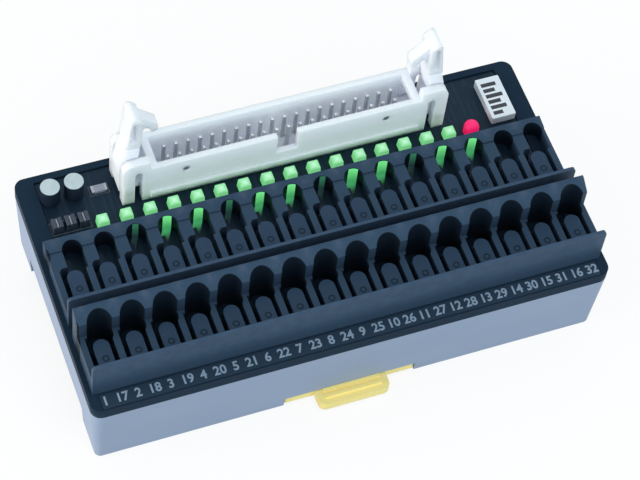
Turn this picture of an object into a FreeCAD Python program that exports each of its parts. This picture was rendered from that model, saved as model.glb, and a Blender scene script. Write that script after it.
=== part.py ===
import FreeCAD, Part
import math
import os

Vector = FreeCAD.Vector

# Rail-mounted connector terminal block, in millimetres.
# X runs along the module, Y towards the connector side, Z up.
# The origin is the middle of the seat that bears on the rail's flanges.

# Base
base_height = 17.0
base_draft = 0.9
corner_radius = 2.2
base_wall = 2.4
base_floor = 1.8
fit_clearance = 0.15

# Mounting rail and its channel
rail_width = 35.0
rail_flange = 1.0
rail_clearance = 0.5
channel_depth = 5.0
hook_reach = 1.7
hook_width = 16.0
hook_spread = 28.0
hook_thickness = 1.0
flange_play = 0.5

# Rail slider
slider_width = 15.0
slider_thickness = 2.0
slider_lift = 0.5
slider_clearance = 0.15
slider_tab_reach = 3.7
slider_tab_radius = 1.5
slider_travel = 3.0
slider_nose_reach = 1.8
slider_rib_width = 1.0
slider_rib_height = 1.0
wing_span = 27.2
wing_thickness = 1.2
grip_rib_count = 2
grip_rib_pitch = 1.4
grip_rib_width = 0.7
grip_rib_height = 0.4

# Black frame, circuit board and number strip
rim_height = 2.6
side_rim = 4.1
board_thickness = 1.6
board_drop = 0.4
board_rear_margin = 1.7
ledge_depth = 4.75
shelf_width = 1.2
skirt_depth = 4.0
skirt_thickness = 1.5
skirt_bore_radius = 0.5
post_width = 4.0
post_pitches = 6
post_spread_y = 18.0
strip_end_margin = 1.1
strip_depth = 3.2
strip_thickness = 0.4
strip_front_margin = 0.35

# Terminal rows
pole_count = 16
pole_pitch = 6.5
row_end_wall = 0.6
row_end_margin = 1.1
tongue_width = 3.2
slit_width = 1.0
front_well_diameter = 5.0
rear_well_diameter = 4.0
front_well_shift = 0.5
rear_well_shift = 1.2
well_margin = 1.1
row_groove = 2.65
front_row_depth = 13.05
rear_row_depth = 17.3
ledge_to_row = 4.0
crest_width = 0.5
front_floor_height = 7.6
rear_floor_height = 6.3
front_wall_height = 13.6
front_wall_slope = 1.8
front_wall_depth = 3.05
rear_wall_height = 7.0
rear_wall_slope = 0.4
rear_wall_depth = 2.8
front_bar_height = 12.1
rear_bar_height = 12.0
bar_thickness = 0.7
bar_end_radius = 0.9
chamber_skin = 1.3
front_tongue_start = 4.6
rear_tongue_start = 7.6

# Release pushers
pusher_thickness = 1.3
pusher_travel = 1.0
guide_depth = 0.6
guide_clearance = 0.08

# Contacts and clamp springs
contact_width = 1.4
contact_thickness = 0.8
contact_margin = 0.8
spring_width = 2.6
spring_leaf = 0.3
spring_play = 0.15
spring_setback = 1.0

# Box header
pin_columns = 20
pin_rows = 2
pin_pitch = 2.54
pin_size = 0.64
pin_clearance = 0.02
pin_height = 8.9
pin_chamfer = 0.16
pin_tail = 1.6
lamp_strip_depth = 6.5
header_rear_margin = 2.5
shell_depth = 9.0
shell_height = 10.4
shell_wall = 1.3
shell_floor = 2.2
shell_end_space = 2.87
shell_end_wall = 1.6
flange_lift = 1.2
flange_height = 1.5
flange_reach = 0.5
key_width = 4.4
key_depth = 5.4
dimple_mark_diameter = 1.6
dimple_mark_depth = 0.4
dimple_mark_spread = 21.2
dimple_mark_height = 7.4
cheek_height = 12.6
cheek_thickness = 1.9
cheek_reach = 5.7
cheek_radius = 2.0
cheek_slot_width = 1.6
cheek_slot_start = 1.6
cheek_slot_height = 9.7

# Latches, sizes from the pivot
pivot_from_end_wall = 4.4
pivot_height = 3.1
pivot_radius = 0.8
pivot_clearance = 0.05
trunnion_engagement = 1.3
latch_clearance = 0.15
latch_heel_radius = 1.6
latch_heel_height = 5.5
latch_inner_face = 1.9
latch_waist_height = 11.5
latch_waist_outer = 0.3
latch_waist_inner = 2.6
latch_height = 21.9
latch_top_inset = 0.9
latch_top_width = 0.9
claw_reach = 6.6
claw_top = 17.3
claw_face = 1.7
claw_lip = 1.2
claw_lip_drop = 0.6
claw_inner = 4.9
throat_top = 17.0
throat_drop = 0.5
throat_outer = 3.0
throat_foot = 15.4
claw_recess = 1.2
rib_inner = 3.1
rib_outer = 1.9
pocket_edge = 0.6
pocket_bottom = 14.4
pocket_top = 20.3
neck_bottom = 11.8
neck_height = 1.1
neck_depth = 0.5
latch_round = 0.35
latch_toe_reach = 7.0
latch_toe_height = 1.4
latch_toe_drop = 0.6
toe_slot_height = 8.6

# Indicators and small parts on the board
led_count = 16
led_pitch = 4.92
led_width = 2.5
led_height = 2.4
led_draft = 0.15
led_row_gap = 2.1
power_led_diameter = 3.2
power_led_barrel = 1.5
capacitor_count = 2
capacitor_diameter = 3.9
capacitor_height = 4.5
capacitor_pitch = 4.9
capacitor_edge = 2.0
capacitor_rear = 4.3
jumper_count = 3
jumper_width = 2.1
jumper_depth = 2.4
jumper_height = 2.2
jumper_pitch = 2.7
jumper_edge = 1.4
jumper_setback = 5.0
jumper_notch = 0.6
chip_length = 3.2
chip_width = 1.6
chip_height = 0.7
chip_gap = 1.8
chip_rear = 4.8
plate_width = 5.2
plate_depth = 10.2
plate_height = 2.0
plate_edge = 0.2
plate_setback = 3.7

# Levels and places worked out from the sizes above
base_bottom = -channel_depth
base_top = base_bottom + base_height
rim_top = base_top + rim_height
board_top = rim_top - board_drop
board_bottom = board_top - board_thickness
row_length = pole_count * pole_pitch + 2 * row_end_wall
module_length = row_length + 2 * row_end_margin
module_depth = (ledge_to_row + front_row_depth + row_groove + rear_row_depth
                + lamp_strip_depth + shell_depth + header_rear_margin)
half_length = module_length / 2
half_depth = module_depth / 2
half_rail_channel = rail_width / 2 + rail_clearance
board_half = half_length - side_rim
board_rear = half_depth - board_rear_margin
board_front = -half_depth + ledge_depth + fit_clearance
front_row_front = -half_depth + ledge_to_row
front_row_rear = front_row_front + front_row_depth
rear_row_front = front_row_rear + row_groove
rear_row_rear = rear_row_front + rear_row_depth
chamber_width = tongue_width + 2 * slit_width
header_y = half_depth - header_rear_margin - shell_depth / 2
cavity_half = (pin_columns - 1) * pin_pitch / 2 + shell_end_space
end_wall_outer = cavity_half + shell_end_wall
pivot_x = end_wall_outer + pivot_from_end_wall
pivot_z = board_top + pivot_height
latch_width = shell_depth - 2 * cheek_thickness - 2 * latch_clearance
led_y = rear_row_rear + led_row_gap + led_width / 2
led_first = -led_count * led_pitch / 2


def block(x0, x1, y0, y1, z0, z1):
    return Part.makeBox(x1 - x0, y1 - y0, z1 - z0, Vector(x0, y0, z0))


def upright(radius, x, y, z0, z1):
    return Part.makeCylinder(radius, z1 - z0, Vector(x, y, z0))


def along_y(radius, x, z, y0, y1):
    return Part.makeCylinder(radius, y1 - y0, Vector(x, y0, z), Vector(0, 1, 0))


def rounded_outline(length, depth, radius, z):
    a = length / 2
    b = depth / 2
    c = radius * (1 - math.sqrt(0.5))
    corners = [(a, b, 1, 1), (-a, b, -1, 1), (-a, -b, -1, -1), (a, -b, 1, -1)]
    edges = []
    ends = []
    for x, y, sx, sy in corners:
        side = Vector(x, y - sy * radius, z)
        front = Vector(x - sx * radius, y, z)
        middle = Vector(x - sx * c, y - sy * c, z)
        first, last = (side, front) if sx * sy > 0 else (front, side)
        edges.append(Part.Arc(first, middle, last).toShape())
        ends.append((first, last))
    for i in range(len(ends)):
        edges.append(Part.makeLine(ends[i][1], ends[(i + 1) % len(ends)][0]))
    return Part.Wire(Part.__sortEdges__(edges))


def rounded_block(length, depth, radius, z0, z1):
    face = Part.Face(rounded_outline(length, depth, radius, z0))
    return face.extrude(Vector(0, 0, z1 - z0))


def profile_along_x(points, x0, x1):
    corners = [Vector(x0, y, z) for y, z in points]
    face = Part.Face(Part.makePolygon(corners + corners[:1]))
    return face.extrude(Vector(x1 - x0, 0, 0))


def profile_along_y(points, y0, y1):
    corners = [Vector(x, y0, z) for x, z in points]
    face = Part.Face(Part.makePolygon(corners + corners[:1]))
    return face.extrude(Vector(0, y1 - y0, 0))


def stadium(width, y_front, y_centre, x, z0, z1):
    """A slot with a flat front end and a round rear end, cut or raised along Z."""
    half = width / 2
    body = block(x - half, x + half, y_front, y_centre, z0, z1)
    return body.fuse(upright(half, x, y_centre, z0, z1)).removeSplitter()


def pole_places():
    middle = (pole_count - 1) / 2
    return [(i - middle) * pole_pitch for i in range(pole_count)]


def pin_places():
    middle = (pin_columns - 1) / 2
    half = (pin_rows - 1) * pin_pitch / 2
    return [((i - middle) * pin_pitch, header_y + side * half)
            for side in (-1, 1) for i in range(pin_columns)]


class TerminalRow:
    """Heights and places of one terminal row, taken from the sizes at the top."""

    def __init__(self, name, front, rear, floor, wall, slope, wall_depth, bar, tongue_start,
                 well_diameter, well_shift):
        self.name = name
        self.front = front
        self.rear = rear
        self.floor = base_top + floor
        self.wall_top = base_top + wall
        self.wall_slope = slope
        self.wall_front = rear - wall_depth
        self.bar_top = base_top + bar
        self.bar_inner = front + bar_thickness
        self.chamber_front = front + chamber_skin
        self.tongue_end = rear - tongue_start
        self.arc_centre = self.tongue_end - tongue_width / 2
        self.well_diameter = well_diameter
        self.well_shift = well_shift
        self.well_y = rear - well_margin - well_diameter / 2
        self.pusher_bottom = self.floor - pusher_thickness
        self.contact_top = board_top + contact_thickness
        self.spring_top = self.pusher_bottom - pusher_travel - spring_play


front_row = TerminalRow("front", front_row_front, front_row_rear, front_floor_height,
                        front_wall_height, front_wall_slope, front_wall_depth,
                        front_bar_height, front_tongue_start, front_well_diameter,
                        front_well_shift)
rear_row = TerminalRow("rear", rear_row_front, rear_row_rear, rear_floor_height,
                       rear_wall_height, rear_wall_slope, rear_wall_depth,
                       rear_bar_height, rear_tongue_start, rear_well_diameter,
                       rear_well_shift)
rows = [front_row, rear_row]


def make_base():
    shell = make_drafted_block()
    hollow = rounded_block(module_length - 2 * base_wall, module_depth - 2 * base_wall,
                           corner_radius - base_wall / 2, base_floor, base_top)
    shell = shell.cut(hollow)
    channel = block(-half_length, half_length, -half_rail_channel, half_rail_channel,
                    base_bottom, 0)
    shell = shell.cut(channel)
    post_half = post_width / 2
    for side_x in (-1, 1):
        x = side_x * post_pitches * pole_pitch
        for y in (-post_spread_y, post_spread_y):
            post = block(x - post_half, x + post_half, y - post_half, y + post_half,
                         base_floor, board_bottom)
            shell = shell.fuse(post)
        shell = shell.fuse(make_rail_hook(side_x * hook_spread))
    return shell.cut(make_slider_space()).removeSplitter()


def make_drafted_block():
    """The base's outside: four drafted walls that meet in cone-shaped corners."""
    x = half_length - corner_radius
    y = half_depth - corner_radius
    foot_radius = corner_radius - base_draft
    long_walls = [(-half_depth + base_draft, base_bottom), (half_depth - base_draft, base_bottom),
                  (half_depth, base_top), (-half_depth, base_top)]
    end_walls = [(-half_length + base_draft, base_bottom), (half_length - base_draft, base_bottom),
                 (half_length, base_top), (-half_length, base_top)]
    walls = profile_along_x(long_walls, -x, x).fuse(profile_along_y(end_walls, -y, y))
    corners = [Part.makeCone(foot_radius, corner_radius, base_height, Vector(cx, cy, base_bottom))
               for cx in (-x, x) for cy in (-y, y)]
    return walls.fuse(corners).removeSplitter()


def make_rail_hook(x):
    lip_top = -rail_flange - flange_play
    lip_bottom = lip_top - hook_thickness
    tip = half_rail_channel - hook_reach
    points = [(half_rail_channel, lip_top), (tip, lip_top), (tip, lip_bottom),
              (half_rail_channel, lip_bottom - hook_reach)]
    return profile_along_x(points, x - hook_width / 2, x + hook_width / 2)


def make_slider_space():
    half = slider_width / 2 + slider_clearance
    roof = base_bottom + slider_lift + slider_thickness + slider_clearance
    nose_roof = -rail_flange
    rib_half = half + slider_rib_width
    rib_bottom, rib_top = slider_rib_levels()
    wing_back = -half_depth + base_draft + wing_thickness + 2 * slider_clearance
    passage = block(-half, half, -half_depth, -half_rail_channel, base_bottom, roof)
    nose_way = block(-half, half, -half_rail_channel - slider_travel - slider_nose_reach,
                     -half_rail_channel, base_bottom, nose_roof)
    grooves = block(-rib_half, rib_half, -half_depth, -half_rail_channel,
                    rib_bottom - slider_clearance, rib_top + slider_clearance)
    wing_half = wing_span / 2 + 2 * slider_clearance
    wing_notch = block(-wing_half, wing_half, -half_depth, wing_back, base_bottom, roof)
    return passage.fuse([nose_way, grooves, wing_notch])


def slider_rib_levels():
    bottom = base_bottom + slider_lift + (slider_thickness - slider_rib_height) / 2
    return bottom, bottom + slider_rib_height


def make_rail_slider():
    half = slider_width / 2
    bottom = base_bottom + slider_lift
    top = bottom + slider_thickness
    base_front = -half_depth + base_draft
    tab_front = base_front - slider_tab_reach
    nose_tip = -half_rail_channel + slider_nose_reach
    nose_top = -rail_flange - flange_play
    rib_bottom, rib_top = slider_rib_levels()
    plate = block(-half, half, tab_front, nose_tip, bottom, top)
    corners = [e for e in plate.Edges
               if e.BoundBox.ZLength > slider_thickness / 2 and e.BoundBox.YMax < base_front]
    plate = plate.makeFillet(slider_tab_radius, corners)
    nose_back = -half_rail_channel - slider_clearance
    nose = profile_along_x([(nose_back, bottom), (nose_tip, top), (nose_tip, nose_top),
                            (nose_back, nose_top)], -half, half)
    under = profile_along_x([(nose_back, bottom), (nose_tip, bottom), (nose_tip, top)],
                            -half, half)
    ribs = block(-half - slider_rib_width + slider_clearance,
                 half + slider_rib_width - slider_clearance,
                 base_front + wing_thickness, nose_back, rib_bottom, rib_top)
    wings = block(-wing_span / 2, wing_span / 2, base_front + slider_clearance,
                  base_front + slider_clearance + wing_thickness, bottom, top)
    slider = plate.cut(under).fuse([nose, ribs, wings])
    grip_span = slider_width - 2 * slider_tab_radius
    for i in range(grip_rib_count):
        y = tab_front + (i + 1) * grip_rib_pitch
        grip = block(-grip_span / 2, grip_span / 2, y, y + grip_rib_width,
                     top, top + grip_rib_height)
        slider = slider.fuse(grip)
    return slider.removeSplitter()


def make_frame():
    plate = rounded_block(module_length, module_depth, corner_radius, base_top, rim_top)
    window = block(-board_half - fit_clearance, board_half + fit_clearance,
                   board_front - fit_clearance, board_rear + fit_clearance,
                   board_bottom, rim_top)
    opening = block(-board_half + shelf_width, board_half - shelf_width,
                    board_front + shelf_width, board_rear - shelf_width,
                    base_top, board_bottom)
    skirt_length = module_length - 2 * base_wall - 2 * fit_clearance
    skirt_width = module_depth - 2 * base_wall - 2 * fit_clearance
    radius = corner_radius - base_wall / 2
    skirt = rounded_block(skirt_length, skirt_width, radius, base_top - skirt_depth, base_top)
    bore = rounded_block(skirt_length - 2 * skirt_thickness, skirt_width - 2 * skirt_thickness,
                         skirt_bore_radius, base_top - skirt_depth, base_top)
    recess = make_strip_block(fit_clearance / 2)
    plate = plate.fuse(skirt.cut(bore))
    return plate.cut([window, opening, recess]).removeSplitter()


def make_strip_block(grow):
    front = -half_depth + strip_front_margin
    half = row_length / 2 - strip_end_margin + grow
    return block(-half, half, front - grow, front + strip_depth + grow,
                 rim_top - strip_thickness, rim_top)


def make_circuit_board():
    board = block(-board_half, board_half, board_front, board_rear, board_bottom, board_top)
    holes = []
    pin_half = pin_size / 2 + pin_clearance
    for x, y in pin_places():
        holes.append(block(x - pin_half, x + pin_half, y - pin_half, y + pin_half,
                           board_bottom, board_top))
    return board.cut(Part.makeCompound(holes))


def make_terminal_housing(row):
    half = row_length / 2
    wall_low = row.wall_top - row.wall_slope
    crest = row.rear - crest_width
    outline = [(row.rear, rim_top), (row.rear, row.wall_top), (crest, row.wall_top),
               (row.wall_front, wall_low), (row.wall_front, row.floor),
               (row.bar_inner, row.floor), (row.bar_inner, row.bar_top),
               (row.front, row.bar_top), (row.front, rim_top)]
    housing = round_bar_ends(profile_along_x(outline, -half, half), row)
    foot_half = board_half - fit_clearance
    foot_front = max(row.front, board_front + fit_clearance)
    foot = block(-foot_half, foot_half, foot_front, row.rear, board_top, rim_top)
    housing = housing.fuse(foot).removeSplitter()
    cuts = []
    for x in pole_places():
        chamber = make_chamber(row, x)
        well = stadium(row.well_diameter, row.tongue_end, row.well_y, x + row.well_shift,
                       board_top, row.wall_top)
        guide_half = tongue_width / 2 + guide_clearance
        groove = block(x - guide_half, x + guide_half,
                       row.chamber_front - guide_depth - guide_clearance, row.chamber_front,
                       board_top, row.floor)
        cuts.extend([chamber, well, groove])
    return housing.cut(Part.makeCompound(cuts)).removeSplitter()


def round_bar_ends(housing, row):
    """Rounds the two upper corners of the bar, seen from the front."""
    corners = [e for e in housing.Edges
               if e.BoundBox.XLength < bar_end_radius and e.BoundBox.ZMin > row.floor
               and e.BoundBox.YMax < row.arc_centre]
    return housing.makeFillet(bar_end_radius, corners)


def make_chamber(row, x):
    """The pocket a pusher sinks into, narrowing at its rear to meet the well."""
    half = chamber_width / 2
    throat = row.well_diameter / 2
    rear = row.arc_centre + half
    outline = [(x - half, row.chamber_front), (x + half, row.chamber_front),
               (x + half, rear - (half - throat)), (x + throat, rear), (x - throat, rear),
               (x - half, rear - (half - throat))]
    corners = [Vector(px, py, board_top) for px, py in outline]
    face = Part.Face(Part.makePolygon(corners + corners[:1]))
    return face.extrude(Vector(0, 0, row.floor - board_top))


def make_pusher(row, x):
    """A tongue whose front end runs up and down in a groove of the bar."""
    return stadium(tongue_width, row.chamber_front - guide_depth, row.arc_centre, x,
                   row.pusher_bottom, row.floor)


def make_contacts(row):
    half = contact_width / 2
    return Part.makeCompound([block(x - half, x + half, row.chamber_front + contact_margin,
                                    row.well_y, board_top, row.contact_top)
                              for x in pole_places()])


def make_springs(row):
    """Hairpin leaves, closed at the front, with their legs open at the rear."""
    front = row.chamber_front + spring_setback
    low = row.contact_top
    high = row.spring_top
    outline = [(row.tongue_end, low), (front, low), (front, high), (row.tongue_end, high),
               (row.tongue_end, high - spring_leaf), (front + spring_leaf, high - spring_leaf),
               (front + spring_leaf, low + spring_leaf), (row.tongue_end, low + spring_leaf)]
    half = spring_width / 2
    return Part.makeCompound([profile_along_x(outline, x - half, x + half)
                              for x in pole_places()])


def make_header_shell():
    front = header_y - shell_depth / 2
    rear = header_y + shell_depth / 2
    top = board_top + shell_height
    floor = board_top + shell_floor
    body = block(-end_wall_outer, end_wall_outer, front, rear, board_top, top)
    flange_low = board_top + flange_lift
    flange = block(-end_wall_outer, end_wall_outer, front - flange_reach, rear + flange_reach,
                   flange_low, flange_low + flange_height)
    cavity = block(-cavity_half, cavity_half, front + shell_wall, rear - shell_wall, floor, top)
    key = block(-key_width / 2, key_width / 2, front, front + shell_wall, top - key_depth, top)
    shell = body.fuse(flange)
    for side in (-1, 1):
        shell = shell.fuse(make_cheeks(side))
        toe_half = shell_depth / 2 - cheek_thickness
        inner, outer = sorted((side * cavity_half, side * end_wall_outer))
        toe_way = block(inner, outer, header_y - toe_half, header_y + toe_half,
                        floor, board_top + toe_slot_height)
        mark = along_y(dimple_mark_diameter / 2, side * dimple_mark_spread,
                       board_top + dimple_mark_height, front, front + dimple_mark_depth)
        shell = shell.cut([toe_way, mark])
    holes = []
    pin_half = pin_size / 2 + pin_clearance
    for x, y in pin_places():
        holes.append(block(x - pin_half, x + pin_half, y - pin_half, y + pin_half,
                           board_top, floor))
    return shell.cut([cavity, key]).cut(Part.makeCompound(holes)).removeSplitter()


def make_cheeks(side):
    """The two ears at one end that carry a latch between them."""
    top = board_top + cheek_height
    near = end_wall_outer
    far = end_wall_outer + cheek_reach
    slot_near = near + cheek_slot_start
    slot_far = slot_near + cheek_slot_width
    slot_top = board_top + cheek_slot_height - cheek_slot_width / 2
    cheeks = []
    for face in (-1, 1):
        outer_y = header_y + face * shell_depth / 2
        inner_y = outer_y - face * cheek_thickness
        y0, y1 = sorted((outer_y, inner_y))
        ear = block(near, far, y0, y1, board_top, top)
        corner = [e for e in ear.Edges
                  if e.BoundBox.YLength > cheek_thickness / 2
                  and e.BoundBox.XMin > near and e.BoundBox.ZMin > board_top]
        ear = ear.makeFillet(cheek_radius, corner)
        slot = block(slot_near, slot_far, y0, y1, board_top, slot_top)
        slot = slot.fuse(along_y(cheek_slot_width / 2, (slot_near + slot_far) / 2, slot_top,
                                 y0, y1))
        reach = trunnion_engagement + latch_clearance
        h0, h1 = sorted((inner_y, inner_y + face * reach))
        socket = along_y(pivot_radius + pivot_clearance, pivot_x, pivot_z, h0, h1)
        cheeks.append(ear.cut([slot, socket]))
    pair = Part.makeCompound(cheeks)
    return pair if side > 0 else pair.mirror(Vector(0, 0, 0), Vector(1, 0, 0))


def make_header_pins():
    pins = []
    half = pin_size / 2
    low = board_bottom - pin_tail
    high = board_top + pin_height
    for x, y in pin_places():
        pin = block(x - half, x + half, y - half, y + half, low, high)
        tip = [e for e in pin.Edges if e.BoundBox.ZMin > high - pin_chamfer]
        pins.append(pin.makeChamfer(pin_chamfer, tip))
    return Part.makeCompound(pins)


def latch_outline():
    """Side outline of a latch from its pivot: heel, arm, leaning head and hooked claw."""
    claw_foot = claw_top - claw_face
    return [(latch_heel_radius, 0), (latch_heel_radius, latch_heel_height),
            (latch_waist_outer, latch_waist_height), (-latch_top_inset, latch_height),
            (-latch_top_inset - latch_top_width, latch_height), (-claw_reach, claw_top),
            (-claw_reach, claw_foot), (-claw_reach + claw_lip, claw_foot - claw_lip_drop),
            (-claw_inner, throat_top - throat_drop), (-(claw_inner + throat_outer) / 2, throat_top),
            (-throat_outer, throat_foot), (-latch_waist_inner, latch_waist_height),
            (-latch_inner_face, latch_heel_height), (-latch_inner_face, 0)]


def make_latch(side):
    half = latch_width / 2
    front = header_y - half
    rear = header_y + half
    arm = profile_along_y([(pivot_x + u, pivot_z + w) for u, w in latch_outline()], front, rear)
    above_throat = pivot_z + (claw_top + throat_top) / 2
    crown = [e for e in arm.Edges
             if e.BoundBox.YLength > half and e.BoundBox.ZMin > above_throat]
    arm = arm.makeFillet(latch_round, crown)
    heel = along_y(latch_heel_radius, pivot_x, pivot_z, front, rear)
    heel = heel.common(block(pivot_x - latch_inner_face, pivot_x + latch_heel_radius, front, rear,
                             pivot_z - latch_heel_radius, pivot_z + latch_heel_radius))
    toe_low = pivot_z - latch_toe_drop
    toe = block(pivot_x - latch_toe_reach, pivot_x, front, rear, toe_low,
                toe_low + latch_toe_height)
    reach = latch_clearance + trunnion_engagement
    trunnion = along_y(pivot_radius, pivot_x, pivot_z, front - reach, rear + reach)
    latch = arm.fuse([heel, toe, trunnion]).cut(make_latch_recesses(front, rear))
    latch = latch.removeSplitter()
    return latch if side > 0 else latch.mirror(Vector(0, 0, 0), Vector(1, 0, 0))


def make_latch_recesses(front, rear):
    """Cuts on both broad faces: the thinner claw, the outer pocket and the neck groove."""
    lean = (latch_waist_outer + latch_top_inset) / (latch_height - latch_waist_height)
    low_edge = latch_waist_outer - lean * (pocket_bottom - latch_waist_height) - pocket_edge
    high_edge = latch_waist_outer - lean * (pocket_top - latch_waist_height) - pocket_edge
    neck_top = neck_bottom + neck_height
    claw = [(-claw_reach, neck_top), (-rib_inner, neck_top), (-rib_inner, latch_height),
            (-claw_reach, latch_height)]
    pocket = [(-rib_outer, pocket_bottom), (low_edge, pocket_bottom), (high_edge, pocket_top),
              (-rib_outer, pocket_top)]
    neck = [(-claw_reach, neck_bottom), (latch_heel_radius, neck_bottom),
            (latch_heel_radius, neck_top), (-claw_reach, neck_top)]
    cuts = []
    for outline, depth in ((claw, claw_recess), (pocket, claw_recess), (neck, neck_depth)):
        places = [(pivot_x + u, pivot_z + w) for u, w in outline]
        cuts.append(profile_along_y(places, front, front + depth))
        cuts.append(profile_along_y(places, rear - depth, rear))
    return cuts


def make_green_leds():
    leds = []
    half = led_width / 2
    for i in range(led_count):
        x = led_first + i * led_pitch
        foot = Part.makePolygon([Vector(x + sx * half, led_y + sy * half, board_top)
                                 for sx, sy in ((-1, -1), (1, -1), (1, 1), (-1, 1), (-1, -1))])
        upper = half - led_draft
        top = Part.makePolygon([Vector(x + sx * upper, led_y + sy * upper, board_top + led_height)
                                for sx, sy in ((-1, -1), (1, -1), (1, 1), (-1, 1), (-1, -1))])
        leds.append(Part.makeLoft([foot, top], True, True))
    return Part.makeCompound(leds)


def make_power_led():
    x = led_first + led_count * led_pitch
    radius = power_led_diameter / 2
    barrel_top = board_top + power_led_barrel
    barrel = upright(radius, x, led_y, board_top, barrel_top)
    dome = Part.makeSphere(radius, Vector(x, led_y, barrel_top), Vector(0, 0, 1), 0, 90, 360)
    return barrel.fuse(dome).removeSplitter()


def make_capacitors():
    cans = []
    radius = capacitor_diameter / 2
    y = board_rear - capacitor_rear
    for i in range(capacitor_count):
        x = -board_half + capacitor_edge + i * capacitor_pitch
        cans.append(upright(radius, x, y, board_top, board_top + capacitor_height))
    return Part.makeCompound(cans)


def make_selector_jumpers():
    caps = []
    half = jumper_width / 2
    front = rear_row_rear + jumper_setback - jumper_depth / 2
    rear = front + jumper_depth
    top = board_top + jumper_height
    for i in range(jumper_count):
        x = -board_half + jumper_edge + i * jumper_pitch
        cap = block(x - half, x + half, front, rear, board_top, top)
        notch = block(x - jumper_notch / 2, x + jumper_notch / 2, front, rear,
                      top - jumper_notch, top)
        caps.append(cap.cut(notch))
    return Part.makeCompound(caps)


def make_chip():
    x = -end_wall_outer - cheek_reach - chip_gap - chip_length / 2
    y = board_rear - chip_rear
    return block(x - chip_length / 2, x + chip_length / 2, y - chip_width / 2,
                 y + chip_width / 2, board_top, board_top + chip_height)


def make_marking_plate():
    x = board_half - plate_edge
    y = rear_row_rear + plate_setback
    return block(x - plate_width, x, y, y + plate_depth, board_top, board_top + plate_height)


def build():
    parts = {
        "base": make_base(),
        "frame": make_frame(),
        "circuit_board": make_circuit_board(),
        "number_strip": make_strip_block(0),
        "rail_slider": make_rail_slider(),
        "header_shell": make_header_shell(),
        "header_pins": make_header_pins(),
        "latch_left": make_latch(-1),
        "latch_right": make_latch(1),
        "green_leds": make_green_leds(),
        "power_led": make_power_led(),
        "capacitors": make_capacitors(),
        "selector_jumpers": make_selector_jumpers(),
        "chip_resistor": make_chip(),
        "marking_plate": make_marking_plate(),
    }
    for row in rows:
        parts[row.name + "_housing"] = make_terminal_housing(row)
        parts[row.name + "_contacts"] = make_contacts(row)
        parts[row.name + "_springs"] = make_springs(row)
        for number, x in enumerate(pole_places(), start=1):
            parts["%s_pusher_%02d" % (row.name, number)] = make_pusher(row, x)
    return parts


os.makedirs("parts", exist_ok=True)
for name, shape in build().items():
    shape.exportStep("parts/%s.step" % name)
    print(name, len(shape.Solids), "valid" if shape.isValid() else "INVALID",
          round(shape.Volume, 2))
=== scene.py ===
import math
import random

import bmesh
import bpy
from mathutils import Matrix, Vector


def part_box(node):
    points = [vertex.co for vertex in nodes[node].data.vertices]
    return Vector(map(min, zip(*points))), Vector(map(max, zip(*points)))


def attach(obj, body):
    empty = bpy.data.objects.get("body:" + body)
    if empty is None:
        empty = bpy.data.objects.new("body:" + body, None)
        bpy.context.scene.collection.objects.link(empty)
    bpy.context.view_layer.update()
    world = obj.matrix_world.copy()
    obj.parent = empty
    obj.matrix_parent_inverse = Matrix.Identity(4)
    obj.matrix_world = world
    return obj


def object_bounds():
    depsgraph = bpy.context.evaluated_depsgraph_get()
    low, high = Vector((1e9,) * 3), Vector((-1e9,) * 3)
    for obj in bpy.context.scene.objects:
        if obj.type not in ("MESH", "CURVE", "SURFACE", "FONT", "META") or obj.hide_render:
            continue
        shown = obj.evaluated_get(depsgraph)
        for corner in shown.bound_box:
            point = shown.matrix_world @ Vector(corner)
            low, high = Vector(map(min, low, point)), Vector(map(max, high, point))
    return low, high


# Rail-mounted terminal block: finishes, printed numbers, board trim, light and camera.
# Everything is in metres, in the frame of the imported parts.

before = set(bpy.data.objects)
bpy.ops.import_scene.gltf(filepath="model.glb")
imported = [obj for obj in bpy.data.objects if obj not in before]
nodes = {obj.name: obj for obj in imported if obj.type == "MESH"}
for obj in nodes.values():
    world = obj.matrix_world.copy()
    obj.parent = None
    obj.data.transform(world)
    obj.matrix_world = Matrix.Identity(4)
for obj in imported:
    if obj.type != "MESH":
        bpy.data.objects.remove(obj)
cad_low, cad_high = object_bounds()
scene = bpy.context.scene
dice = random.Random(16)

MM = 0.001
ROWS = ("front", "rear")
POLES = range(1, 17)


class Link:
    """A shader socket that takes part in Python sums; each sum adds Math nodes."""

    def __init__(self, finish, socket):
        self.finish = finish
        self.socket = socket

    def maths(self, operation, *values):
        inputs = dict(enumerate(values))
        return self.finish.node("ShaderNodeMath", {"operation": operation}, inputs)

    def __add__(self, other):
        return self.maths("ADD", self, other)

    def __radd__(self, other):
        return self.maths("ADD", other, self)

    def __sub__(self, other):
        return self.maths("SUBTRACT", self, other)

    def __rsub__(self, other):
        return self.maths("SUBTRACT", other, self)

    def __mul__(self, other):
        return self.maths("MULTIPLY", self, other)

    def __rmul__(self, other):
        return self.maths("MULTIPLY", other, self)

    def __truediv__(self, other):
        return self.maths("DIVIDE", self, other)

    def __rtruediv__(self, other):
        return self.maths("DIVIDE", other, self)

    def __gt__(self, other):
        return self.maths("GREATER_THAN", self, other)

    def __lt__(self, other):
        return self.maths("LESS_THAN", self, other)

    def __abs__(self):
        return self.maths("ABSOLUTE", self)

    def clamped(self):
        return self.maths("MINIMUM", self.maths("MAXIMUM", self, 0.0), 1.0)

    def ramp(self, start, end):
        """Nought at start, one at end, even in between and level beyond them."""
        return ((self - start) / (end - start)).clamped()


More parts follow.
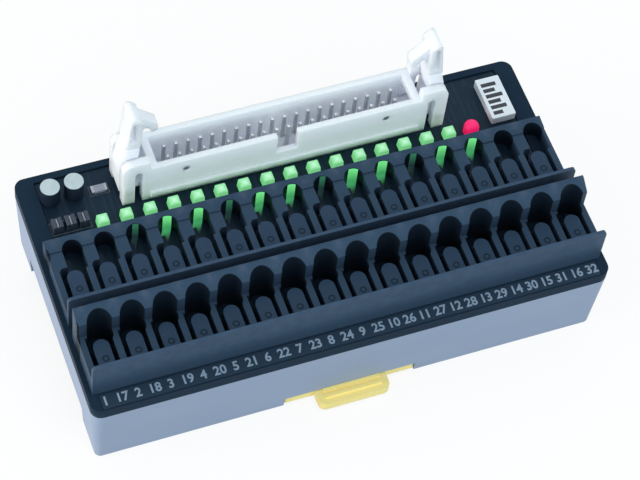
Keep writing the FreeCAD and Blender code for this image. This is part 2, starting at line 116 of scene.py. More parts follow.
class Finish:
    """The node tree of a material or a world, and the single method that adds a node to it."""

    def __init__(self, name, world=None):
        self.material = world or bpy.data.materials.new(name)
        self.material.use_nodes = True
        self.tree = self.material.node_tree
        self.surface = self.tree.nodes["Background" if world else "Principled BSDF"]

    def node(self, kind, settings=None, inputs=None, output=0):
        made = self.tree.nodes.new(kind)
        for name, value in (settings or {}).items():
            setattr(made, name, value)
        for name, value in (inputs or {}).items():
            self.join(made.inputs[name], value)
        return Link(self, made.outputs[output])

    def join(self, socket, value):
        if isinstance(value, Link):
            self.tree.links.new(value.socket, socket)
        else:
            socket.default_value = value

    def set(self, **sockets):
        """Sets or links the shader's own sockets, with spaces written as underscores."""
        for name, value in sockets.items():
            self.join(self.surface.inputs[name.replace("_", " ")], value)

    def place(self):
        return self.node("ShaderNodeTexCoord", output="Object")

    def axes(self):
        split = self.node("ShaderNodeSeparateXYZ", inputs={0: self.place()})
        return [Link(self, output) for output in split.socket.node.outputs]

    def noise(self, size, detail=2.0, roughness=0.5, stretch=(1, 1, 1)):
        """Cloudy noise whose patches are about size metres across."""
        place = self.node("ShaderNodeVectorMath", {"operation": "MULTIPLY"},
                          {0: self.place(), 1: [s / size for s in stretch]})
        return self.node("ShaderNodeTexNoise", {},
                         {"Vector": place, "Scale": 1.0, "Detail": detail, "Roughness": roughness})

    def mix(self, share, first, second):
        """A colour between two colours."""
        return self.node("ShaderNodeMix", {"data_type": "RGBA"},
                         {0: share, 6: first, 7: second}, 2)

    def bump(self, height, depth, strength):
        return self.node("ShaderNodeBump", {},
                         {"Height": height, "Distance": depth, "Strength": strength})

    def seen(self):
        """One for camera, glossy and transmission rays, nought for the rays that light things."""
        path = self.node("ShaderNodeLightPath")
        rays = path.socket.node.outputs
        straight = path.maths("MAXIMUM", Link(self, rays["Is Camera Ray"]),
                              Link(self, rays["Is Glossy Ray"]))
        return path.maths("MAXIMUM", straight, Link(self, rays["Is Transmission Ray"]))

    def end_with(self, share, other):
        """Sends a mixture of the tree's own shader and another one to the output."""
        own = Link(self, self.surface.outputs[0])
        shader = self.node("ShaderNodeMixShader", {}, {0: share, 1: own, 2: other})
        ends = [n for n in self.tree.nodes if n.type.startswith("OUTPUT")]
        self.join(ends[0].inputs["Surface"], shader)


def rgb(red, green, blue):
    return (red, green, blue, 1.0)


# Places that several finishes and pieces share

well_radius = {"front": 2.5 * MM, "rear": 2.0 * MM}
well_shift = {"front": 0.5 * MM, "rear": 1.2 * MM}
well_margin = 1.1 * MM
board_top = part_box("circuit_board")[1].z
led_low, led_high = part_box("green_leds")
led_count = 16
led_width = led_high.y - led_low.y
led_pitch = (led_high.x - led_low.x - led_width) / (led_count - 1)
led_first = led_low.x + led_width / 2
led_y = (led_low.y + led_high.y) / 2


def pusher(row, pole):
    return "%s_pusher_%02d" % (row, pole)


def pole_x(row, pole):
    low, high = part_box(pusher(row, pole))
    return (low.x + high.x) / 2


def well_y(row):
    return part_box(row + "_housing")[1].y - well_margin - well_radius[row]


# Kinds of finish

def moulded(name, colour, shade, roughness, grain, depth, sheen=0.5, sheen_colour=(1, 1, 1),
            scatter=0.0, pattern=None):
    """Injection-moulded plastic: fine eroded grain, faint flow marks and uneven gloss.

    Light goes as deep as scatter into a milky plastic, and a pattern recolours some places.
    """
    flow_size = 9 * MM
    flow_stretch = (0.35, 1.0, 1.0)
    flow_gloss = 0.08
    dust_size = 0.9 * MM
    dust_share = 0.35
    dust_gain = 1.25
    dust_lift = 0.01
    dust_gloss = 0.05
    dust_height = 0.5
    gloss_dip = 0.06
    finish = Finish(name)
    flow = finish.noise(flow_size, detail=3.0, roughness=0.55, stretch=flow_stretch)
    dust = finish.noise(dust_size, detail=4.0, roughness=0.6)
    fine = finish.noise(grain, roughness=0.6)
    dusty = [min(1.0, c * dust_gain + dust_lift) for c in colour]
    tone = finish.mix(flow.ramp(0.3, 0.75), rgb(*colour), rgb(*shade))
    tone = finish.mix(dust.ramp(0.58, 0.8) * dust_share, tone, rgb(*dusty))
    if pattern:
        tone = pattern(finish, tone)
    finish.set(Base_Color=tone,
               Roughness=roughness - gloss_dip + flow * flow_gloss + dust * dust_gloss,
               Specular_IOR_Level=sheen, Specular_Tint=rgb(*sheen_colour),
               Normal=finish.bump(fine + dust * dust_height, depth, strength=0.6))
    if scatter:
        finish.set(Subsurface_Weight=1.0, Subsurface_Radius=(1.0, 1.0, 1.0),
                   Subsurface_Scale=scatter)
    return finish.material


def metal(name, colour, dull, roughness, stretch=(1, 1, 1)):
    """Plated or drawn metal with a brushed direction and duller patches."""
    patch_size = 1.6 * MM
    patch_gloss = 0.06
    brush_size = 0.25 * MM
    brush_depth = 0.01 * MM
    brush_gloss = 0.14
    finish = Finish(name)
    patch = finish.noise(patch_size, detail=3.0)
    brush = finish.noise(brush_size, stretch=stretch)
    finish.set(Base_Color=finish.mix(patch.ramp(0.4, 0.75), rgb(*colour), rgb(*dull)),
               Metallic=1.0, Roughness=roughness + brush * brush_gloss + patch * patch_gloss,
               Normal=finish.bump(brush, brush_depth, strength=0.4))
    return finish.material


def lamp(name, heart, skin, strength, first, pitch, y, half):
    """Lit resin: a pale heart in the middle of each lamp and a deeper colour at its skin."""
    haze_size = 0.5 * MM
    haze_share = 0.3
    dark_share = 0.65
    dark_resin = rgb(0.01, 0.02, 0.02)
    finish = Finish(name)
    x_place, y_place, _ = finish.axes()
    step = (x_place - (first - pitch / 2)) / pitch
    across = abs(step.maths("FRACT", step) - 0.5) * (pitch / half)
    along = abs(y_place - y) / half
    spread = step.maths("MAXIMUM", across, along)
    haze = finish.noise(haze_size)
    share = (spread.ramp(0.15, 1.05) + (haze - 0.5) * haze_share).clamped()
    glow = finish.mix(share, rgb(*heart), rgb(*skin))
    finish.set(Base_Color=finish.mix(dark_share, glow, dark_resin),
               Roughness=0.45 + haze * 0.08, Specular_IOR_Level=0.25,
               Emission_Color=glow, Emission_Strength=strength)
    return finish.material


def well_pattern(row):
    """Painted shade darkening the bores, and painted highlights paling the crest between the wells
    and the top of the front bar.
    """
    # Painted shade: the plastic is darkened inside the bore of each well.
    bore_shade_fade = (0.10 * MM, 0.02 * MM)
    bore_shade_share, bore_shade_tone = 0.87, rgb(0.003, 0.005, 0.009)
    # Painted highlight: paler plastic along the crest between the wells, in patches.
    crest_highlight_fade = (2.6 * MM, 0.6 * MM)
    crest_highlight_share, crest_highlight_tone = 0.45, rgb(0.085, 0.112, 0.165)
    crest_highlight_size = 1.4 * MM
    # Painted highlight: paler plastic at the top of the front bar's face, fading downwards.
    bar_highlight_fade = (0.8 * MM, 0.6 * MM)
    bar_highlight_share, bar_highlight_tone = 0.8, rgb(0.066, 0.105, 0.172)
    bar_highlight_size = 2.0 * MM
    bar_rise = 0.5 * MM
    bar_depth = 3.5 * MM
    low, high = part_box(row + "_housing")
    bar_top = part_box(pusher(row, 1))[1].z + bar_rise
    first, last = pole_x(row, POLES[0]), pole_x(row, POLES[-1])
    pitch = (last - first) / (len(POLES) - 1)
    radius = well_radius[row]
    crest_sides = (0.7 * radius, 0.47 * pitch)

    def pattern(finish, tone):
        x_place, y_place, z_place = finish.axes()
        step = (x_place - (first + well_shift[row] - pitch / 2)) / pitch
        side = (step.maths("FRACT", step) - 0.5) * pitch
        rear = y_place - well_y(row)
        reach = step.maths("SQRT", side * side + rear * rear)
        # Painted shade in the bores
        bore = reach.ramp(radius + bore_shade_fade[0], radius + bore_shade_fade[1])
        # Painted highlight on the crest between the wells
        crest_highlight = (y_place.ramp(high.y - crest_highlight_fade[0], high.y - crest_highlight_fade[1])
                  * abs(side).ramp(*crest_sides)
                  * finish.noise(crest_highlight_size, detail=3.0).ramp(0.30, 0.60))
        # Painted highlight at the top of the front bar's face
        bar = (y_place.ramp(low.y + bar_highlight_fade[0], low.y + bar_highlight_fade[1])
               * z_place.ramp(bar_top - bar_depth, bar_top)
               * finish.noise(bar_highlight_size, detail=3.0))
        tone = finish.mix(crest_highlight * crest_highlight_share, tone, crest_highlight_tone)
        tone = finish.mix(bar * bar_highlight_share, tone, bar_highlight_tone)
        return finish.mix(bore * bore_shade_share, tone, bore_shade_tone)

    return pattern


# Finishes of single pieces

blue_sheen = (0.45, 0.75, 1.0)
milky_depth = 2.5 * MM
base_finish = moulded(
    "blue_grey_satin", (0.280, 0.345, 0.475), (0.262, 0.326, 0.455),
    roughness=0.52, grain=0.16 * MM, depth=0.02 * MM)
frame_finish = moulded(
    "black_satin", (0.0150, 0.0300, 0.0520), (0.0135, 0.0270, 0.0470),
    roughness=0.42, grain=0.14 * MM, depth=0.02 * MM, sheen=0.02, sheen_colour=blue_sheen)
pusher_finish = moulded(
    "pusher_black", (0.0280, 0.0500, 0.0880), (0.0245, 0.0450, 0.0800),
    roughness=0.50, grain=0.12 * MM, depth=0.015 * MM, sheen=0.2, sheen_colour=blue_sheen)
# Painted shade: the ring marks are darker than the pushers' plastic, to stand for the shade in a
# small dimple.
dimple_shade_finish = moulded(
    "dimple_painted_shade", (0.0050, 0.0110, 0.0230), (0.0040, 0.0090, 0.0190),
    roughness=0.50, grain=0.12 * MM, depth=0.015 * MM, sheen=0.3, sheen_colour=blue_sheen)
header_finish = moulded(
    "header_white", (0.860, 0.885, 0.990), (0.830, 0.860, 0.965),
    roughness=0.46, grain=0.15 * MM, depth=0.01 * MM, scatter=milky_depth)
latch_finish = moulded(
    "latch_white", (0.860, 0.870, 0.930), (0.830, 0.840, 0.905),
    roughness=0.42, grain=0.15 * MM, depth=0.01 * MM, scatter=milky_depth)
slider_finish = moulded(
    "slider_yellow", (1.000, 0.800, 0.300), (0.970, 0.760, 0.240),
    roughness=0.45, grain=0.15 * MM, depth=0.012 * MM)
jumper_finish = moulded(
    "jumper_grey", (0.034, 0.050, 0.078), (0.028, 0.042, 0.068),
    roughness=0.45, grain=0.12 * MM, depth=0.012 * MM)
strip_finish = moulded(
    "strip_film", (0.0228, 0.0396, 0.0660), (0.0204, 0.0360, 0.0600),
    roughness=0.45, grain=0.4 * MM, depth=0.006 * MM, sheen=0.3, sheen_colour=blue_sheen)
plate_finish = moulded(
    "plate_white", (0.800, 0.830, 0.870), (0.770, 0.805, 0.850),
    roughness=0.5, grain=0.2 * MM, depth=0.006 * MM)
number_ink = moulded(
    "number_ink", (0.27, 0.35, 0.46), (0.22, 0.30, 0.40),
    roughness=0.5, grain=0.1 * MM, depth=0.004 * MM)
plate_ink = moulded(
    "plate_ink", (0.030, 0.036, 0.046), (0.024, 0.030, 0.040),
    roughness=0.5, grain=0.1 * MM, depth=0.004 * MM)
# Painted shade for the round recesses in the header's front
painted_recess_shade = moulded(
    "painted_recess_shade", (0.13, 0.16, 0.20), (0.11, 0.14, 0.18),
    roughness=0.6, grain=0.12 * MM, depth=0.004 * MM)
board_ink = moulded(
    "board_print", (0.07, 0.09, 0.12), (0.06, 0.08, 0.11),
    roughness=0.6, grain=0.1 * MM, depth=0.004 * MM)
pin_finish = metal(
    "pin_tin", (0.64, 0.65, 0.68), (0.54, 0.55, 0.58), roughness=0.36, stretch=(1, 1, 0.15))
# Painted shade: the tin contacts and steel springs are coloured near black for the shade of the
# deep wells they sit in.
contact_shade_finish = metal(
    "contact_painted_shade", (0.03, 0.045, 0.07), (0.02, 0.03, 0.05), roughness=0.5, stretch=(1, 0.2, 1))
spring_shade_finish = metal(
    "spring_steel", (0.03, 0.045, 0.07), (0.02, 0.03, 0.05), roughness=0.5, stretch=(0.2, 1, 1))
solder = metal("solder", (0.58, 0.60, 0.62), (0.46, 0.48, 0.50), roughness=0.3)
clip_metal = metal("clip_metal", (0.26, 0.29, 0.34), (0.20, 0.23, 0.28), roughness=0.35)


def housing_finish(row):
    return moulded(
        row + "_terminal_black", (0.0315, 0.0560, 0.0940), (0.0285, 0.0510, 0.0870),
        roughness=0.48, grain=0.14 * MM, depth=0.012 * MM, sheen=0.2, sheen_colour=blue_sheen,
        pattern=well_pattern(row))


def green_lamp():
    return lamp("green_lamp", heart=(0.50, 0.91, 0.60), skin=(0.15, 0.62, 0.20), strength=0.75,
                first=led_first, pitch=led_pitch, y=led_y, half=led_width / 2)


def red_lamp():
    low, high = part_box("power_led")
    width = high.x - low.x
    return lamp("red_lamp", heart=(0.95, 0.012, 0.17), skin=(0.70, 0.004, 0.09), strength=0.85,
                first=(low.x + high.x) / 2, pitch=width, y=(low.y + high.y) / 2, half=width / 2)


def board_laminate():
    """Dark solder mask over copper tracks, which show as slightly raised paler bands."""
    track_pitch = 1.27 * MM
    track_run = 4.0 * MM
    track_rarity = 0.45
    relief = 0.03 * MM
    weave_size = 0.5 * MM
    finish = Finish("dark_solder_mask")
    x_place, y_place, _ = finish.axes()
    weave = finish.noise(weave_size, detail=3.0)
    lane = x_place / track_pitch
    run = y_place / track_run
    cell = finish.node("ShaderNodeCombineXYZ", {},
                       {0: lane.maths("FLOOR", lane), 1: run.maths("FLOOR", run)})
    chance = finish.node("ShaderNodeTexWhiteNoise", {"noise_dimensions": "2D"}, {"Vector": cell})
    phase = lane.maths("FRACT", lane)
    track = abs(phase - 0.5).ramp(0.30, 0.24) * (chance > track_rarity)
    tone = finish.mix(track, rgb(0.0060, 0.0130, 0.0260), rgb(0.0085, 0.0200, 0.0340))
    tone = finish.mix(weave.ramp(0.5, 0.8) * 0.5, tone, rgb(0.0100, 0.0200, 0.0360))
    finish.set(Base_Color=tone, Roughness=0.38 + weave * 0.1, Specular_IOR_Level=0.3,
               Specular_Tint=rgb(*blue_sheen),
               Normal=finish.bump(track + weave * 0.25, relief, strength=0.6))
    return finish.material


def can_sleeve():
    """Capacitor cans: bright drawn tops and a dark sleeve round the side."""
    top_depth = 0.12 * MM
    top_metal = 0.55
    turning_size = 0.35 * MM
    turning_depth = 0.01 * MM
    patch_size = 1.5 * MM
    finish = Finish("capacitor_can")
    _, _, z_place = finish.axes()
    turning = finish.noise(turning_size)
    patch = finish.noise(patch_size, detail=3.0)
    top = z_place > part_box("capacitors")[1].z - top_depth
    sleeve = finish.mix(patch.ramp(0.35, 0.7), rgb(0.008, 0.015, 0.030), rgb(0.013, 0.022, 0.040))
    cap = finish.mix(patch.ramp(0.4, 0.7), rgb(0.50, 0.60, 0.63), rgb(0.42, 0.52, 0.55))
    finish.set(Base_Color=finish.mix(top, sleeve, cap), Metallic=top * top_metal,
               Roughness=0.42 + patch * 0.12 - top * 0.06, Specular_IOR_Level=0.15,
               Normal=finish.bump(turning, turning_depth, strength=0.5))
    return finish.material


def chip_ends():
    """A ceramic chip with plated ends."""
    end_length = 0.5 * MM
    end_metal = 0.9
    speck_size = 0.3 * MM
    finish = Finish("chip_ceramic")
    low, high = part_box("chip_resistor")
    x_place, _, _ = finish.axes()
    off_middle = abs(x_place - (low.x + high.x) / 2)
    end = off_middle > (high.x - low.x) / 2 - end_length
    speck = finish.noise(speck_size, detail=3.0)
    body = finish.mix(speck.ramp(0.4, 0.7), rgb(0.30, 0.33, 0.40), rgb(0.25, 0.28, 0.34))
    finish.set(Base_Color=finish.mix(end, body, rgb(0.42, 0.45, 0.50)), Metallic=end * end_metal,
               Roughness=0.38 + speck * 0.15)
    return finish.material


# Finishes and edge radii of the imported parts

finishes = {
    "base": base_finish, "frame": frame_finish, "circuit_board": board_laminate(),
    "number_strip": strip_finish, "rail_slider": slider_finish,
    "header_shell": header_finish, "header_pins": pin_finish,
    "latch_left": latch_finish, "latch_right": latch_finish,
    "green_leds": green_lamp(), "power_led": red_lamp(), "capacitors": can_sleeve(),
    "selector_jumpers": jumper_finish, "chip_resistor": chip_ends(),
    "marking_plate": plate_finish,
}
edge_radii = {
    "base": 0.25 * MM, "frame": 0.2 * MM, "rail_slider": 0.2 * MM, "header_shell": 0.12 * MM,
    "latch_left": 0.16 * MM, "latch_right": 0.16 * MM, "green_leds": 0.25 * MM,
    "power_led": 0.1 * MM, "capacitors": 0.22 * MM, "selector_jumpers": 0.12 * MM,
    "marking_plate": 0.2 * MM,
}
for row in ROWS:
    finishes[row + "_housing"] = housing_finish(row)
    finishes[row + "_contacts"] = contact_shade_finish
    finishes[row + "_springs"] = spring_shade_finish
    edge_radii[row + "_housing"] = 0.14 * MM
    for pole in POLES:
        finishes[pusher(row, pole)] = pusher_finish
        edge_radii[pusher(row, pole)] = 0.18 * MM


def round_edges(node, radius):
    """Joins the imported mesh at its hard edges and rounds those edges, by modifiers only."""
    weld = node.modifiers.new("joined", "WELD")
    weld.merge_threshold = 0.002 * MM
    bevel = node.modifiers.new("moulded_edges", "BEVEL")
    bevel.width = radius
    bevel.segments = 2
    bevel.limit_method = "ANGLE"
    bevel.angle_limit = math.radians(40)
    bevel.use_clamp_overlap = True
    bevel.harden_normals = False


for name, node in nodes.items():
    if node.material_slots:
        for holder in node.material_slots:
            holder.material = finishes[name]
    else:
        node.data.materials.append(finishes[name])
    if name in edge_radii:
        round_edges(node, edge_radii[name])


# Ways to build a piece

def piece(name, built, finish, body="module"):
    """Turns a finished bmesh into a piece that rides on a body."""
    mesh = bpy.data.meshes.new(name)
    bmesh.ops.recalc_face_normals(built, faces=built.faces)
    built.to_mesh(mesh)
    built.free()
    mesh.materials.append(finish)
    made = bpy.data.objects.new(name, mesh)
    scene.collection.objects.link(made)
    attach(made, body)


def corner_loop(built, low, high, inset, z):
    """The corners of a level rectangle that is drawn in by the inset."""
    x0, y0 = low[0] + inset, low[1] + inset
    x1, y1 = high[0] - inset, high[1] - inset
    return [built.verts.new(p) for p in ((x0, y0, z), (x1, y0, z), (x1, y1, z), (x0, y1, z))]


def add_walls(built, loops):
    """Faces from each loop of points to the next; a loop of one point makes triangles."""
    for first, second in zip(loops, loops[1:]):
        count = max(len(first), len(second))
        for i in range(count):
            j = (i + 1) % count
            corners = (first[i % len(first)], first[j % len(first)],
                       second[j % len(second)], second[i % len(second)])
            built.faces.new(list(dict.fromkeys(corners)))


def add_slab(built, low, high, chamfer=0.0):
    """A closed slab whose top edges are drawn in by the chamfer."""
    levels = [(0.0, low[2]), (0.0, high[2] - chamfer)]
    if chamfer:
        levels.append((chamfer, high[2]))
    loops = [corner_loop(built, low, high, inset, z) for inset, z in levels]
    built.faces.new(loops[0][::-1])
    built.faces.new(loops[-1])
    add_walls(built, loops)


def add_turned(built, x, y, z, profile, steps):
    """A shape turned about an upright line through the place; profile is radius and height."""
    loops = []
    for radius, height in profile:
        turns = [2 * math.pi * i / steps for i in range(steps if radius else 1)]
        loops.append([built.verts.new((x + radius * math.cos(turn), y + radius * math.sin(turn),
                                       z + height)) for turn in turns])
    add_walls(built, loops)


# Printed numbers on the ledge, one for each terminal of both rows

number_size = 2.7 * MM
number_squeeze = 0.95
number_weight = 0.07 * MM
number_lift = 0.012 * MM
number_weld = 0.001 * MM
front_number_shift = -1.9 * MM
rear_number_shift = 1.4 * MM


def add_number(built, number, x, y, z):
    letters = bpy.data.curves.new("numeral", "FONT")
    letters.body = str(number)
    letters.size = number_size
    letters.align_x = "CENTER"
    letters.align_y = "CENTER"
    letters.extrude = number_lift
    letters.offset = number_weight
    letters.resolution_u = 3
    holder = bpy.data.objects.new("numeral", letters)
    mesh = bpy.data.meshes.new_from_object(holder)
    mesh.transform(Matrix.Translation((x, y, z)) @ Matrix.Diagonal((number_squeeze, 1, 1, 1)))
    built.from_mesh(mesh)
    bpy.data.meshes.remove(mesh)
    bpy.data.objects.remove(holder)
    bpy.data.curves.remove(letters)


def pole_numbers():
    low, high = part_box("number_strip")
    y = (low.y + high.y) / 2
    numbers = bmesh.new()
    for pole in POLES:
        x = pole_x("front", pole)
        add_number(numbers, pole, x + front_number_shift, y, high.z)
        add_number(numbers, pole + len(POLES), x + rear_number_shift, y, high.z)
    bmesh.ops.remove_doubles(numbers, verts=numbers.verts, dist=number_weld)
    piece("pole_numbers", numbers, number_ink)


pole_numbers()

# Painted lamp light: thin glowing strips on the rear walls of the rear row's wells stand for the
# green lamps' light seen there

glow_strip_poles = range(3, 15)
glow_strip_bend = well_radius["rear"]
glow_strip_gap = 0.01 * MM
glow_strip_skin = 0.08 * MM
glow_strip_top = 18.75 * MM
glow_strip_foot_reach = 2.6 * MM
glow_strip_foot_slant = 0.5
glow_strip_steps = 8
glow_strip_turn = 13
glow_strip_stray = 4
bright_half = (23, 29)
faint_half = (15, 20)
faint_miss = 0.15


def guide_glow(name, low_glow, high_glow):
    """Painted green lamp light, fading down the wall and along the foot of a strip."""
    wall_fade = (0.3 * MM, 0.8 * MM)
    foot_fade = 0.8 * MM
    cloud_size = 1.1 * MM
    cloud_share = 0.4
    dark_share = 0.6
    dark_resin = rgb(0.01, 0.02, 0.02)
    dark_foot = rgb(0.002, 0.006, 0.006)
    finish = Finish(name)
    _, y_place, z_place = finish.axes()
    wall = z_place.ramp(board_top + wall_fade[0], glow_strip_top - wall_fade[1])
    wall_y = well_y("rear") + glow_strip_bend
    foot = y_place.ramp(wall_y - glow_strip_foot_reach, wall_y - foot_fade)
    cloud = finish.noise(cloud_size)
    share = (wall + (cloud - 0.5) * cloud_share).clamped()
    glow = finish.mix(share, rgb(*low_glow), rgb(*high_glow))
    glow = finish.mix(foot, dark_foot, glow)
    # Painted light: the strips glow, though they are no lamps.
    finish.set(Base_Color=finish.mix(dark_share, glow, dark_resin),
               Roughness=0.25 + cloud * 0.1, Emission_Color=glow, Emission_Strength=0.75)
    return finish.material


def add_guide(built, x, y, middle, half):
    """A curved strip up the rear wall of a well, with a foot on the board that runs forward."""
    back = glow_strip_bend - glow_strip_gap
    front = glow_strip_bend - glow_strip_skin
    low = board_top + glow_strip_gap
    loops = []
    for i in range(glow_strip_steps + 1):
        angle = middle - half + 2 * half * i / glow_strip_steps
        side, rear = math.sin(angle), math.cos(angle)
        back_x, back_y = x + back * side, y + back * rear
        front_x, front_y = x + front * side, y + front * rear
        foot_x = front_x - glow_strip_foot_slant * glow_strip_foot_reach
        foot_y = front_y - glow_strip_foot_reach
        loops.append([built.verts.new(p) for p in (
            (back_x, back_y, low), (back_x, back_y, glow_strip_top),
            (front_x, front_y, glow_strip_top), (front_x, front_y, low + glow_strip_skin),
            (foot_x, foot_y, low + glow_strip_skin), (foot_x, foot_y, low))])
    add_walls(built, loops)
    built.faces.new(loops[0])
    built.faces.new(loops[-1][::-1])


def light_guides():
    """A strip's painted glow is faint where its well is in line with a lamp, and bright elsewhere.
    """
    bright, faint = bmesh.new(), bmesh.new()
    for pole in glow_strip_poles:
        x = pole_x("rear", pole) + well_shift["rear"]
        lamps_along = (x - led_first) / led_pitch
        is_bright = abs(lamps_along - round(lamps_along)) > faint_miss
        middle = math.radians(glow_strip_turn + dice.uniform(-glow_strip_stray, glow_strip_stray))
        half = math.radians(dice.uniform(*(bright_half if is_bright else faint_half)))
        add_guide(bright if is_bright else faint, x, well_y("rear"), middle, half)
    bright_glow = guide_glow("bright_painted_glow", (0.05, 0.34, 0.12), (0.18, 0.82, 0.26))
    faint_glow = guide_glow("faint_painted_glow", (0.008, 0.03, 0.03), (0.03, 0.17, 0.09))
    piece("bright_painted_glow_strips", bright, bright_glow)
    piece("faint_painted_glow_strips", faint, faint_glow)


light_guides()

# Small moulded ring marks on the pushers, darker than the pushers' plastic as painted shade of a
# small dimple

mark_setback = 4.3 * MM
mark_sink = -0.05 * MM
mark_inner = 0.42 * MM
mark_outer = 0.70 * MM
mark_profile = [(mark_inner, mark_sink), (mark_inner, 0.03 * MM), (0.48 * MM, 0.06 * MM),
                (0.62 * MM, 0.06 * MM), (mark_outer, 0.02 * MM), (mark_outer, mark_sink),
                (mark_inner, mark_sink)]
mark_steps = 20


def pusher_mark(row, pole):
    name = pusher(row, pole)
    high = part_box(name)[1]
    mark = bmesh.new()
    add_turned(mark, pole_x(row, pole), high.y - mark_setback, high.z, mark_profile, mark_steps)
    piece(name + "_mark", mark, dimple_shade_finish, name)


for row in ROWS:
    for pole in POLES:
        pusher_mark(row, pole)

# Dark bars on the white plate, by their shares of its depth and its width

plate_bar_rows = ((0.12, 0.40), (0.26, 0.66), (0.40, 0.52), (0.54, 0.70), (0.68, 0.48),
                  (0.82, 0.62))
plate_bar_inset = 0.7 * MM
plate_bar_half = 0.46 * MM
plate_bar_sink = 0.02 * MM
plate_bar_lift = 0.015 * MM


def plate_bars():
    low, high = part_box("marking_plate")
    bars = bmesh.new()
    x = low.x + plate_bar_inset
    for depth_share, width_share in plate_bar_rows:
        y = low.y + depth_share * (high.y - low.y)
        add_slab(bars, (x, y - plate_bar_half, high.z - plate_bar_sink),
                 (x + width_share * (high.x - low.x), y + plate_bar_half,
                  high.z + plate_bar_lift))
    piece("plate_bars", bars, plate_ink)


plate_bars()

# Painted shade: dark discs in the round recesses of the header's front, standing for the shade in
# those recesses

flange_reach = 0.5 * MM
recess_depth = 0.4 * MM
recess_spread = 21.2 * MM
recess_height = 7.4 * MM
spot_profile = [(0.0, -0.06 * MM), (0.74 * MM, -0.06 * MM), (0.78 * MM, 0.0),
                (0.70 * MM, 0.10 * MM), (0.30 * MM, 0.04 * MM), (0.0, 0.04 * MM)]
spot_steps = 24


def header_spot(side, side_name):
    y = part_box("header_shell")[0].y + flange_reach + recess_depth
    spot = bmesh.new()
    add_turned(spot, 0, 0, 0, spot_profile, spot_steps)
    home = Matrix.Translation((side * recess_spread, y, board_top + recess_height))
    spot.transform(home @ Matrix.Rotation(math.radians(90), 4, "X"))
    # The disc's dark grey is painted shade for the recess.
    piece("header_spot_" + side_name, spot, painted_recess_shade)


header_spot(-1, "left")
header_spot(1, "right")

# Solder pads in front of and behind each lamp

pad_half_width = 0.7 * MM
pad_half_depth = 0.28 * MM
pad_gap = 0.12 * MM
pad_height = 0.2 * MM
pad_chamfer = 0.15 * MM


def lamp_pads():
    pads = bmesh.new()
    for i in range(led_count):
        x = led_first + i * led_pitch
        for side in (-1, 1):
            y = led_y + side * (led_width / 2 + pad_gap)
            add_slab(pads, (x - pad_half_width, y - pad_half_depth, board_top),
                     (x + pad_half_width, y + pad_half_depth, board_top + pad_height),
                     pad_chamfer)
    piece("lamp_pads", pads, solder)


lamp_pads()

# Printed outlines on the board

print_height = 0.015 * MM


def add_outline(built, node, gap, width):
    """A thin closed ring on the board, round a part and a gap away from it."""
    low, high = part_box(node)
    top = board_top + print_height
    loops = [corner_loop(built, low, high, inset - gap, z) for inset, z in (
        (0.0, board_top), (0.0, top), (width, top), (width, board_top))]
    add_walls(built, loops + loops[:1])


def board_print():
    outlines = bmesh.new()
    add_outline(outlines, "selector_jumpers", gap=0.35 * MM, width=0.18 * MM)
    add_outline(outlines, "chip_resistor", gap=0.4 * MM, width=0.16 * MM)
    piece("board_print", outlines, board_ink)


board_print()

# Bright clips that show in the notches of the jumper caps

jumper_count = 3
jumper_width = 2.1 * MM
clip_half_width = 0.26 * MM
clip_inset = 0.12 * MM
clip_foot_depth = 0.6 * MM
clip_top_depth = 0.1 * MM
clip_chamfer = 0.1 * MM


def jumper_clips():
    low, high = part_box("selector_jumpers")
    pitch = (high.x - low.x - jumper_width) / (jumper_count - 1)
    clips = bmesh.new()
    for i in range(jumper_count):
        x = low.x + jumper_width / 2 + i * pitch
        add_slab(clips, (x - clip_half_width, low.y + clip_inset, high.z - clip_foot_depth),
                 (x + clip_half_width, high.y - clip_inset, high.z - clip_top_depth),
                 clip_chamfer)
    piece("jumper_clips", clips, clip_metal)


jumper_clips()

# Floor and sky, which are white to the camera and in reflections

floor_reach = 3.0
floor_drop = 0.02 * MM
floor_white = 0.85
pure_white = rgb(1, 1, 1)


def lay_floor():
    reach = floor_reach
    z = cad_low.z - floor_drop
    mesh = bpy.data.meshes.new("floor")
    mesh.from_pydata([(-reach, -reach, z), (reach, -reach, z), (reach, reach, z),
                      (-reach, reach, z)], [], [(0, 1, 2, 3)])
    floor = bpy.data.objects.new("floor", mesh)
    scene.collection.objects.link(floor)
    paper = Finish("white_paper")
    seen = paper.seen()
    paper.set(Base_Color=paper.mix(seen, rgb(0.32, 0.32, 0.33), rgb(0.95, 0.95, 0.95)),
              Roughness=0.9)
    glow = paper.node("ShaderNodeEmission", {}, {"Color": pure_white, "Strength": 1.0})
    paper.end_with(seen * floor_white, glow)
    mesh.materials.append(paper.material)


def set_sky():
    studio = Finish("studio", bpy.data.worlds.new("studio"))
    scene.world = studio.material
    studio.set(Color=rgb(0.84, 0.95, 1.0), Strength=0.86)
    plain = studio.node("ShaderNodeBackground", {}, {"Color": pure_white, "Strength": 1.0})
    studio.end_with(studio.seen(), plain)


lay_floor()
set_sky()

# Soft boxes, all turned to the middle of the part

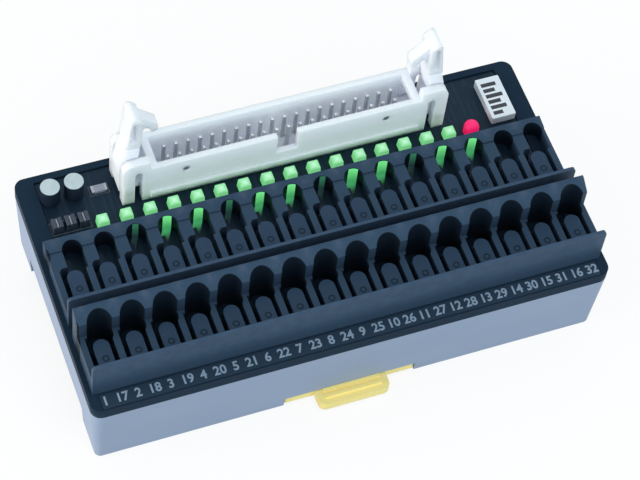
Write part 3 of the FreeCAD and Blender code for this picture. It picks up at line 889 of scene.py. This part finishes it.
light_target = Vector((0, 0, 0.012))


def soft_light(name, place, size, power, colour):
    light = bpy.data.lights.new(name, "AREA")
    light.shape = "RECTANGLE"
    light.size, light.size_y = size
    light.energy = power
    light.color = colour
    holder = bpy.data.objects.new(name, light)
    scene.collection.objects.link(holder)
    holder.location = place
    aim = light_target - Vector(place)
    holder.rotation_euler = aim.to_track_quat("-Z", "Y").to_euler()


soft_light("left_box", place=(-0.70, 0.0, 0.15), size=(0.5, 0.3), power=3.3,
           colour=(1.0, 0.96, 0.90))
soft_light("crest_box", place=(0.19, -0.36, 0.66), size=(0.35, 0.35), power=0.7,
           colour=(0.90, 0.97, 1.0))
soft_light("front_box", place=(0.12, -0.75, 0.24), size=(0.5, 0.3), power=1.5,
           colour=(0.74, 0.95, 1.0))

# Camera solved from the photo, with its place in millimetres from the camera centre

camera_turn = math.radians(-26.997)
camera_tilt = math.radians(57.070)
camera_roll = math.radians(8.515)
camera_right = 1.828
camera_up = -1.147
camera_back = 492.509
camera_centre = Vector((0, 0, 12))
focal_pixels = 2465.9
image_pixels = 640


def set_camera():
    flat = math.cos(camera_tilt)
    back = Vector((math.sin(camera_turn) * flat, -math.cos(camera_turn) * flat,
                   math.sin(camera_tilt)))
    level = Vector((math.cos(camera_turn), math.sin(camera_turn), 0))
    rise = back.cross(level)
    right = math.cos(camera_roll) * level + math.sin(camera_roll) * rise
    up = -math.sin(camera_roll) * level + math.cos(camera_roll) * rise
    place = (camera_right * right + camera_up * up + camera_back * back + camera_centre) * MM
    lens = bpy.data.cameras.new("camera")
    lens.sensor_width = 36.0
    lens.lens = focal_pixels / image_pixels * lens.sensor_width
    lens.clip_start = 0.01
    camera = bpy.data.objects.new("camera", lens)
    scene.collection.objects.link(camera)
    camera.matrix_world = Matrix(((right.x, up.x, back.x, place.x),
                                  (right.y, up.y, back.y, place.y),
                                  (right.z, up.z, back.z, place.z), (0, 0, 0, 1)))
    scene.camera = camera


set_camera()
scene.view_settings.view_transform = "Standard"
